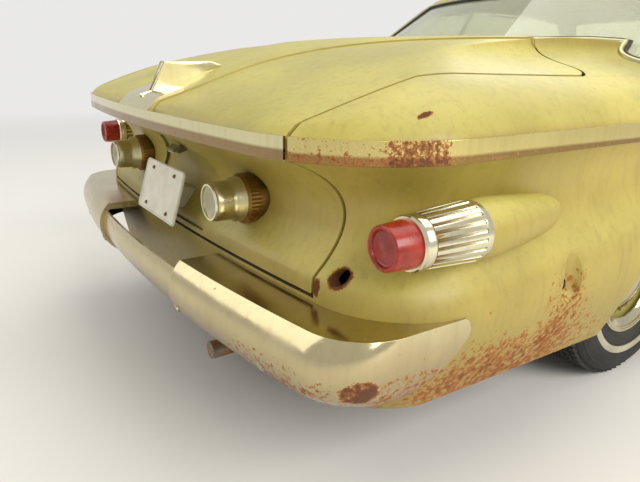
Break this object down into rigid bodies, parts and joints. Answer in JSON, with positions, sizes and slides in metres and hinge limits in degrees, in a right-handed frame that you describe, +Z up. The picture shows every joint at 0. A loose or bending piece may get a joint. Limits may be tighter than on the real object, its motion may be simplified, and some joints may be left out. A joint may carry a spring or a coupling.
{
  "type": "two-door hardtop car",
  "caption": "Full-size two-door hardtop saloon of the early 1960s with opening doors, bonnet and boot, steered front wheels, torpedo tail lamps and a hollowed tail.",
  "frame": {"origin": "on the ground under the middle of the car's overall length and width", "axes": "+X forward, +Y to the car's left, +Z up"},
  "size_m": [5.3232, 2.0439, 1.3907],
  "materials": {
    "paint": "faded olive paint, semi-gloss",
    "underbody": "matt undercoat",
    "bright": "polished, aged",
    "steel": "dull",
    "iron": "rough",
    "dash": "semi-gloss",
    "glass": "clear",
    "lamp_glass": "fluted clear",
    "upholstery": "worn vinyl",
    "plate": "flat",
    "rim_plastic": "smooth",
    "red_lens": "translucent look",
    "tyre": "worn rubber",
    "wheel_paint": "satin"
  },
  "bodies": {
    "car_body": {"boot_floor": "underbody", "bumper_front": "bright", "bumper_rear": "bright", "chassis_rails": "underbody", "cowl": "paint", "dashboard": "dash", "driveshaft": "steel", "engine": "iron", "exhaust": "steel", "fender_left": "paint", "fender_right": "paint", "floor_pan": "underbody", "front_panel": "paint", "front_rails": "underbody", "front_seat": "upholstery", "front_suspension": "iron", "fuel_tank": "steel", "grille": "bright", "headlamps": "lamp_glass", "leaf_springs": "iron", "quarter_glass": "glass", "quarter_left": "paint", "quarter_right": "paint", "radiator": "iron", "rear_axle": "iron", "rear_lower_panel": "paint", "rear_rails": "underbody", "rear_seat": "upholstery", "rear_window": "glass", "roof": "paint", "side_strips": "bright", "steering_column": "dash", "tail_lamp_bezels": "bright", "tail_lamp_lenses": "red_lens", "tail_lamp_pods": "paint", "upper_back_panel": "paint", "wheelhouses": "underbody", "windshield": "glass"},
    "hood": {"hood": "paint"},
    "trunk_lid": {"trunk_lid": "paint", "lid_trim": "bright", "reverse_lamps": "bright", "licence_plate": "plate"},
    "door_left": {"door_left": "paint", "door_glass_left": "glass", "door_strip_left": "bright"},
    "door_right": {"door_right": "paint", "door_glass_right": "glass", "door_strip_right": "bright"},
    "steering_wheel": {"steering_wheel": "rim_plastic"},
    "knuckle_left": {"knuckle_left": "iron"},
    "knuckle_right": {"knuckle_right": "iron"},
    "wheel_front_left": {"wheel_front_left": "wheel_paint", "tyre_front_left": "tyre"},
    "wheel_front_right": {"wheel_front_right": "wheel_paint", "tyre_front_right": "tyre"},
    "wheel_rear_left": {"wheel_rear_left": "wheel_paint", "tyre_rear_left": "tyre"},
    "wheel_rear_right": {"wheel_rear_right": "wheel_paint", "tyre_rear_right": "tyre"}
  },
  "joints": [
    {"name": "steer_left", "type": "hinge", "parent": "car_body", "child": "knuckle_left", "pos_m": [1.777, 0.715, 0.35], "axis": [0, 0, 1], "range_deg": [-30, 30]},
    {"name": "steer_right", "type": "hinge", "parent": "car_body", "child": "knuckle_right", "pos_m": [1.777, -0.715, 0.35], "axis": [0, 0, 1], "range_deg": [-30, 30]},
    {"name": "steering_turn", "type": "hinge", "parent": "car_body", "child": "steering_wheel", "pos_m": [0.47, 0.38, 0.905], "axis": [-0.891, 0, 0.454], "range_deg": [-480, 480]},
    {"name": "roll_front_left", "type": "hinge", "parent": "knuckle_left", "child": "wheel_front_left", "pos_m": [1.777, 0.7735, 0.35], "axis": [0, 1, 0], "continuous": true},
    {"name": "roll_front_right", "type": "hinge", "parent": "knuckle_right", "child": "wheel_front_right", "pos_m": [1.777, -0.7735, 0.35], "axis": [0, 1, 0], "continuous": true},
    {"name": "roll_rear_left", "type": "hinge", "parent": "car_body", "child": "wheel_rear_left", "pos_m": [-1.22, 0.758, 0.35], "axis": [0, 1, 0], "continuous": true},
    {"name": "roll_rear_right", "type": "hinge", "parent": "car_body", "child": "wheel_rear_right", "pos_m": [-1.22, -0.758, 0.35], "axis": [0, 1, 0], "continuous": true},
    {"name": "door_left_swing", "type": "hinge", "parent": "car_body", "child": "door_left", "pos_m": [0.8, 0.97, 0.66], "axis": [0, 0, -1], "range_deg": [0, 65]},
    {"name": "door_right_swing", "type": "hinge", "parent": "car_body", "child": "door_right", "pos_m": [0.8, -0.97, 0.66], "axis": [0, 0, 1], "range_deg": [0, 65]},
    {"name": "hood_lift", "type": "hinge", "parent": "car_body", "child": "hood", "pos_m": [1.3, 0, 1.006], "axis": [0, -1, 0], "range_deg": [0, 50]},
    {"name": "trunk_lift", "type": "hinge", "parent": "car_body", "child": "trunk_lid", "pos_m": [-1.79, 0, 1.09], "axis": [0, 1, 0], "range_deg": [0, 60]}
  ],
  "couplings": [
    {"joint": "steer_right", "follows": "steer_left", "ratio": 1},
    {"joint": "steering_turn", "follows": "steer_left", "ratio": 16}
  ]
}
